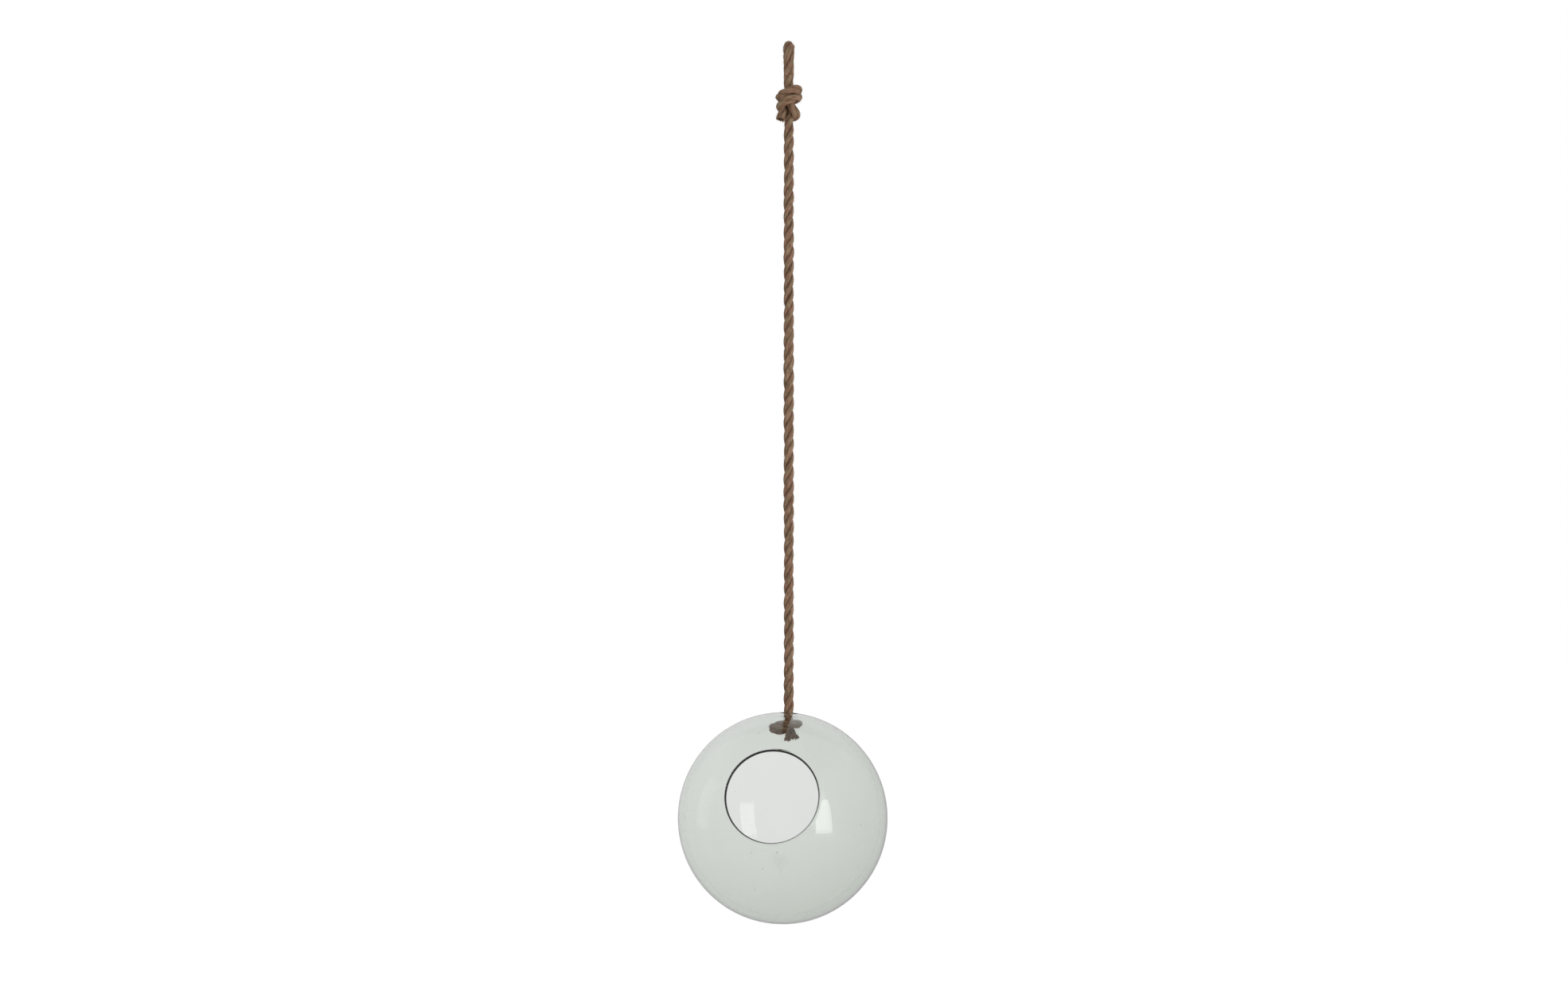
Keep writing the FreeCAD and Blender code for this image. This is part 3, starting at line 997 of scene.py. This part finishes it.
def seeds_mesh(name, wall):
    """The flecks of a wall as one plain mesh on an object of its own."""
    glass = glass_settings()
    area = sum(face.area for face in wall.data.polygons)
    values = {
        "Density": glass.seeds / area,
        "Radius": glass.seed_radius,
        "Depth": glass.wall * FLECK_DEPTH_SHARE,
        "Seed": 11,
        "Material": fleck_material(),
    }
    return grow(link_object(name, wall.data.copy()), seeds_tree(), values)


# Materials


def jute_streaks():
    """A shader group: fibre streaks that run along the yarns."""
    tree = bpy.data.node_groups.new("jute_streaks", "ShaderNodeTree")
    tree.interface.new_socket("Fibre", in_out="INPUT", socket_type="NodeSocketVector")
    start = tree.nodes.new("NodeGroupInput")
    end = tree.nodes.new("NodeGroupOutput")
    for output, stretch, scale, detail in (
        ("Fine", (1.0, 1.0, 0.11), 2600.0, 3.0),
        ("Broad", (1.0, 1.0, 0.35), 800.0, 2.0),
        ("Patch", (1.0, 1.0, 0.6), 380.0, 1.0),
    ):
        tree.interface.new_socket(output, in_out="OUTPUT", socket_type="NodeSocketFloat")
        values = {"Vector": start.outputs["Fibre"], "Scale": stretch}
        mapping = add_node(tree, "ShaderNodeMapping", values)
        values = {"Vector": mapping.outputs["Vector"], "Scale": scale, "Detail": detail}
        noise = add_node(tree, "ShaderNodeTexNoise", values)
        tree.links.new(noise.outputs["Fac"], end.inputs[output])
    return tree


def new_material(name):
    """An empty material of that name, with its shader and output linked."""
    material = bpy.data.materials.new(name)
    material.use_nodes = True
    tree = material.node_tree
    tree.nodes.clear()
    shader = tree.nodes.new("ShaderNodeBsdfPrincipled")
    add_node(tree, "ShaderNodeOutputMaterial", {"Surface": shader.outputs["BSDF"]})
    return material, tree, shader


def jute_material():
    """Coarse brown jute: streaky fibres on the crowns, and painted shade down between the strands.
    """
    name = "laid_jute"
    if name in bpy.data.materials:
        return bpy.data.materials[name]
    rope = rope_settings()
    material, tree, shader = new_material(name)
    fibre = add_node(tree, "ShaderNodeAttribute", attribute_name="fibre")
    crown = add_node(tree, "ShaderNodeAttribute", attribute_name="crown")
    values = {"Fibre": fibre.outputs["Vector"]}
    streaks = add_node(tree, "ShaderNodeGroup", values, node_tree=jute_streaks()).outputs
    # Painted shade: the lower a point lies on the strands, down between them, the more it takes
    # the groove shade colour.
    depth = map_range(tree, crown.outputs["Fac"], (0.5, 0.93), interpolation_type="SMOOTHSTEP")
    broad = map_range(tree, streaks["Broad"], (0.36, 0.64))
    fine = map_range(tree, streaks["Fine"], (0.32, 0.68))
    patch = map_range(tree, streaks["Patch"], (0.38, 0.62))
    values = {"Factor": 0.42, "A": broad, "B": fine}
    streak = add_node(tree, "ShaderNodeMix", values, data_type="FLOAT").outputs["Result"]
    body = mix_colours(tree, streak, rope.fibre_brown, rope.fibre_light)
    hue = mix_colours(tree, patch, rope.patch_olive, rope.patch_red)
    tinted = mix_colours(tree, 1.0, body, hue, "MULTIPLY")
    values = {"Strength": 0.7, "Distance": 0.00022, "Height": streak}
    bump = add_node(tree, "ShaderNodeBump", values)
    values = {
        "Base Color": mix_colours(tree, depth, rope.groove_shade_colour, tinted),
        "Normal": bump.outputs["Normal"],
        "Roughness": 0.86,
        "Specular IOR Level": 0.2,
    }
    set_sockets(tree, shader, values)
    return material


def fuzz_material():
    """Single loose fibres, a little paler than the rope."""
    name = "loose_fibre"
    if name in bpy.data.materials:
        return bpy.data.materials[name]
    rope = rope_settings()
    material, tree, shader = new_material(name)
    pale = [value * FUZZ_PALER for value in rope.fibre_light]
    colour = mix_colours(tree, noise_over(tree, 300.0), rope.fibre_brown, pale)
    set_sockets(tree, shader, {"Base Color": colour, "Roughness": 0.8})
    return material


def glass_material():
    """Clear blown glass, tinted a pale grey-green in depth."""
    glass = glass_settings()
    material, tree, shader = new_material("blown_glass")
    values = {
        "Base Color": (1, 1, 1, 1),
        "Metallic": 0.0,
        "Roughness": 0.0,
        "IOR": 1.5,
        "Transmission Weight": 1.0,
    }
    set_sockets(tree, shader, values)
    values = {"Color": (*glass.tint, 1), "Density": glass.tint_density}
    depth = add_node(tree, "ShaderNodeVolumeAbsorption", values)
    output = tree.nodes["Material Output"]
    set_sockets(tree, output, {"Volume": depth.outputs["Volume"]})
    return material


def fleck_material():
    """Grey-green specks, a little lighter or darker from one to the next."""
    material, tree, shader = new_material("glass_fleck")
    dark = (0.1, 0.12, 0.1)
    pale = (0.4, 0.43, 0.38)
    colour = mix_colours(tree, noise_over(tree, 90.0), dark, pale)
    set_sockets(tree, shader, {"Base Color": colour, "Roughness": 0.5})
    return material


def floor_material():
    """A pale floor that reads as white and keeps the object's shadow.

    Seen through the glass it only glows, so that it has the same tone all over there.
    """
    material, tree, shader = new_material("pale_floor")
    tone = map_range(tree, noise_over(tree, 3.0, 4.0), after=(0.9, 0.93))
    values = {"Red": tone, "Green": tone, "Blue": tone}
    colour = add_node(tree, "ShaderNodeCombineColor", values).outputs["Color"]
    through_glass = seen_ray(tree, 0.0, camera=0.0, glossy=0.0, transmission=1.0)
    values = {
        "Base Color": mix_colours(tree, through_glass, colour, (0, 0, 0)),
        "Roughness": 0.9,
        "Specular IOR Level": 0.0,
        "Emission Color": (1, 1, 1, 1),
        "Emission Strength": seen_ray(tree, 0.0, **FLOOR_SEEN),
    }
    set_sockets(tree, shader, values)
    return material


def seen_ray(tree, lighting, camera, glossy, transmission):
    """A level by what looks: the camera, a reflection, the glass, or a surface that is lit."""
    path = tree.nodes.new("ShaderNodeLightPath").outputs
    level = lighting
    for name, seen in (
        ("Is Glossy Ray", glossy),
        ("Is Transmission Ray", transmission),
        ("Is Camera Ray", camera),
        ("Diffuse Depth", lighting),
    ):
        level = map_range(tree, path[name], after=(level, seen))
    return level


# The stage


def add_camera():
    """The camera where the photograph was taken from."""
    stage = stage_settings()
    camera = bpy.data.cameras.new("camera")
    camera.lens = 50
    camera.sensor_width = 36
    camera.clip_start = 0.05
    camera.clip_end = 50
    holder = link_object("camera", camera)
    holder.location = (stage.camera_side, -stage.camera_distance, stage.camera_height)
    holder.rotation_euler = (math.pi / 2, 0, 0)
    bpy.context.scene.camera = holder


def add_softbox(name, azimuth, elevation, distance, width, height, brightness, seen_by):
    """A flat soft lamp that looks at the ball, and at a brightness of 1 is as bright as white."""
    centre, _ = ball_frame()
    lamp = bpy.data.lights.new(name, "AREA")
    lamp.shape = "RECTANGLE"
    lamp.size = width
    lamp.size_y = height
    lamp.energy = brightness * math.pi * width * height
    holder = link_object(name, lamp)
    azimuth = math.radians(azimuth)
    elevation = math.radians(elevation)
    level = math.cos(elevation)
    way = Vector((math.sin(azimuth) * level, -math.cos(azimuth) * level, math.sin(elevation)))
    holder.location = centre + way * distance
    holder.rotation_euler = way.to_track_quat("Z", "Y").to_euler()
    holder.visible_camera = False
    holder.visible_diffuse = "diffuse" in seen_by
    holder.visible_glossy = "glossy" in seen_by
    holder.visible_transmission = "transmission" in seen_by


def show_only_mirrored(lamp):
    """Keeps a lamp from being seen straight through the glass, but not from being mirrored."""
    lamp.use_nodes = True
    tree = lamp.node_tree
    path = tree.nodes.new("ShaderNodeLightPath").outputs
    values = {0: path["Glossy Depth"], 1: 1.0}
    mirrored = add_node(tree, "ShaderNodeMath", values, operation="MINIMUM")
    set_sockets(tree, tree.nodes["Emission"], {"Strength": mirrored.outputs["Value"]})


def add_world():
    """Even light from all round, and a background that is pure white to the camera."""
    world = bpy.data.worlds.new("studio")
    bpy.context.scene.world = world
    world.use_nodes = True
    tree = world.node_tree
    tree.nodes.clear()
    place = tree.nodes.new("ShaderNodeTexCoord").outputs["Generated"]
    height = add_node(tree, "ShaderNodeSeparateXYZ", {"Vector": place}).outputs["Z"]
    ceiling = map_range(tree, height, **CEILING, interpolation_type="SMOOTHSTEP")
    level = seen_ray(tree, stage_settings().ambient, glossy=ceiling, **WORLD_SEEN)
    values = {"Color": (1, 1, 1, 1), "Strength": level}
    background = add_node(tree, "ShaderNodeBackground", values)
    add_node(tree, "ShaderNodeOutputWorld", {"Surface": background.outputs["Background"]})


def add_floor():
    """The pale floor under the hanging ball."""
    stage = stage_settings()
    low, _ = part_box("glass_globe")
    height = low.z - stage.floor_drop
    reach = 4.0
    corners = [(-reach, -reach), (reach, -reach), (reach, reach), (-reach, reach)]
    points = np.array([(x, y, height) for x, y in corners])
    floor = mesh_object("floor", points, [(0, 1, 2, 3)], [floor_material()])


# Operators


def finish_rope(node):
    """Hides the solid that a rope piece stands for."""
    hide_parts(node)


def bend_between(piece):
    """Bakes a rope piece's placing into its mesh."""
    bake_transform(piece)


def rope_rows(line):
    """The rows at which one rope piece ends and the next begins, from the ball upwards."""
    stopper = row_near(line, STOPPER_SEAM)
    neck = row_near(line, NECK_SEAM)
    straight_end = row_near(line, HANGING_ROUTE[-1][:3])
    reach = int(KNOT_SEAM_REACH / ROW_STEP)
    knot = row_near(line, KNOT_SEAM, straight_end, straight_end + reach)
    return {"stopper": stopper, "neck": neck, "knot": knot, "end": len(line["along"]) - 1}


class VASE_OT_camera(Operator):
    """Places the camera where the photograph was taken from"""

    bl_idname = "vase.camera"
    bl_label = "Camera"

    def execute(self, context):
        add_camera()
        return {"FINISHED"}


class VASE_OT_rope(Operator):
    """Lays the jute rope along its route, from the stopper knot up to the eye"""

    bl_idname = "vase.rope"
    bl_label = "Rope"

    def execute(self, context):
        line = rope_line()
        rows = rope_rows(line)
        end = rows["end"]
        frays = frayed_yarns(line, 0, -1, count=56, length=2.5 * MM, spread=0.2, seed=3)
        stopper = rope_piece("stopper_knot_rope", line, 0, rows["stopper"], KNOTTED, frays)
        finish_rope("stopper_knot")
        bend_between(stopper)

        neck = rope_piece("neck_rope", line, rows["stopper"], rows["neck"], STRAIGHT)
        finish_rope("rope_neck")
        bend_between(neck)

        hanging = rope_piece("hanging_rope_laid", line, rows["neck"], rows["knot"], STRAIGHT)
        finish_rope("hanging_rope")
        bend_between(hanging)

        frays = frayed_yarns(line, end, 1, count=22, length=1.6 * MM, spread=0.25, seed=8)
        eye = rope_piece("eye_and_knot_rope", line, rows["knot"], end, KNOTTED, frays)
        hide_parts("rope_loop")
        finish_rope("loop_knot")
        bend_between(eye)
        return {"FINISHED"}


class VASE_OT_globe(Operator):
    """Blows the glass ball with its mouth and its hole"""

    bl_idname = "vase.globe"
    bl_label = "Glass Ball"

    def execute(self, context):
        globe = globe_mesh("glass_ball")
        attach(globe, "globe")
        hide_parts("glass_globe")
        return {"FINISHED"}


class VASE_OT_seeds(Operator):
    """Scatters the small flecks and seeds in the glass"""

    bl_idname = "vase.seeds"
    bl_label = "Glass Seeds"

    def execute(self, context):
        seeds = seeds_mesh("glass_seeds", bpy.data.objects["glass_ball"])
        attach(seeds, "globe")
        return {"FINISHED"}


class VASE_OT_stage(Operator):
    """Sets the pale floor, the white background and the soft light"""

    bl_idname = "vase.stage"
    bl_label = "Stage"

    def execute(self, context):
        context.scene.view_settings.view_transform = "Standard"
        add_world()
        add_floor()
        for name, lamp in LAMPS.items():
            add_softbox(name, *lamp)
        show_only_mirrored(bpy.data.lights["inner_key"])
        return {"FINISHED"}


STEPS = (VASE_OT_camera, VASE_OT_rope, VASE_OT_globe, VASE_OT_seeds, VASE_OT_stage)


class VASE_PT_sidebar(Panel):
    """The steps that dress the vase, in their order"""

    bl_idname = "VASE_PT_sidebar"
    bl_label = "Propagation Vase"
    bl_space_type = "VIEW_3D"
    bl_region_type = "UI"
    bl_category = "Vase"

    def draw(self, context):
        for step in STEPS:
            self.layout.operator(step.bl_idname)
        for group in (context.scene.vase_rope, context.scene.vase_glass, context.scene.vase_stage):
            box = self.layout.box()
            for name in group.__annotations__:
                box.prop(group, name)


SETTINGS = {"vase_rope": VaseRope, "vase_glass": VaseGlass, "vase_stage": VaseStage}


def register():
    for group in SETTINGS.values():
        bpy.utils.register_class(group)
    for name, group in SETTINGS.items():
        setattr(bpy.types.Scene, name, PointerProperty(type=group))
    for step in STEPS:
        bpy.utils.register_class(step)
    bpy.utils.register_class(VASE_PT_sidebar)


def unregister():
    bpy.utils.unregister_class(VASE_PT_sidebar)
    for step in reversed(STEPS):
        bpy.utils.unregister_class(step)
    for name, group in SETTINGS.items():
        delattr(bpy.types.Scene, name)
        bpy.utils.unregister_class(group)


def main():
    register()
    bpy.ops.vase.camera()
    bpy.ops.vase.rope()
    bpy.ops.vase.globe()
    bpy.ops.vase.seeds()
    bpy.ops.vase.stage()


if __name__ == "__main__":
    main()
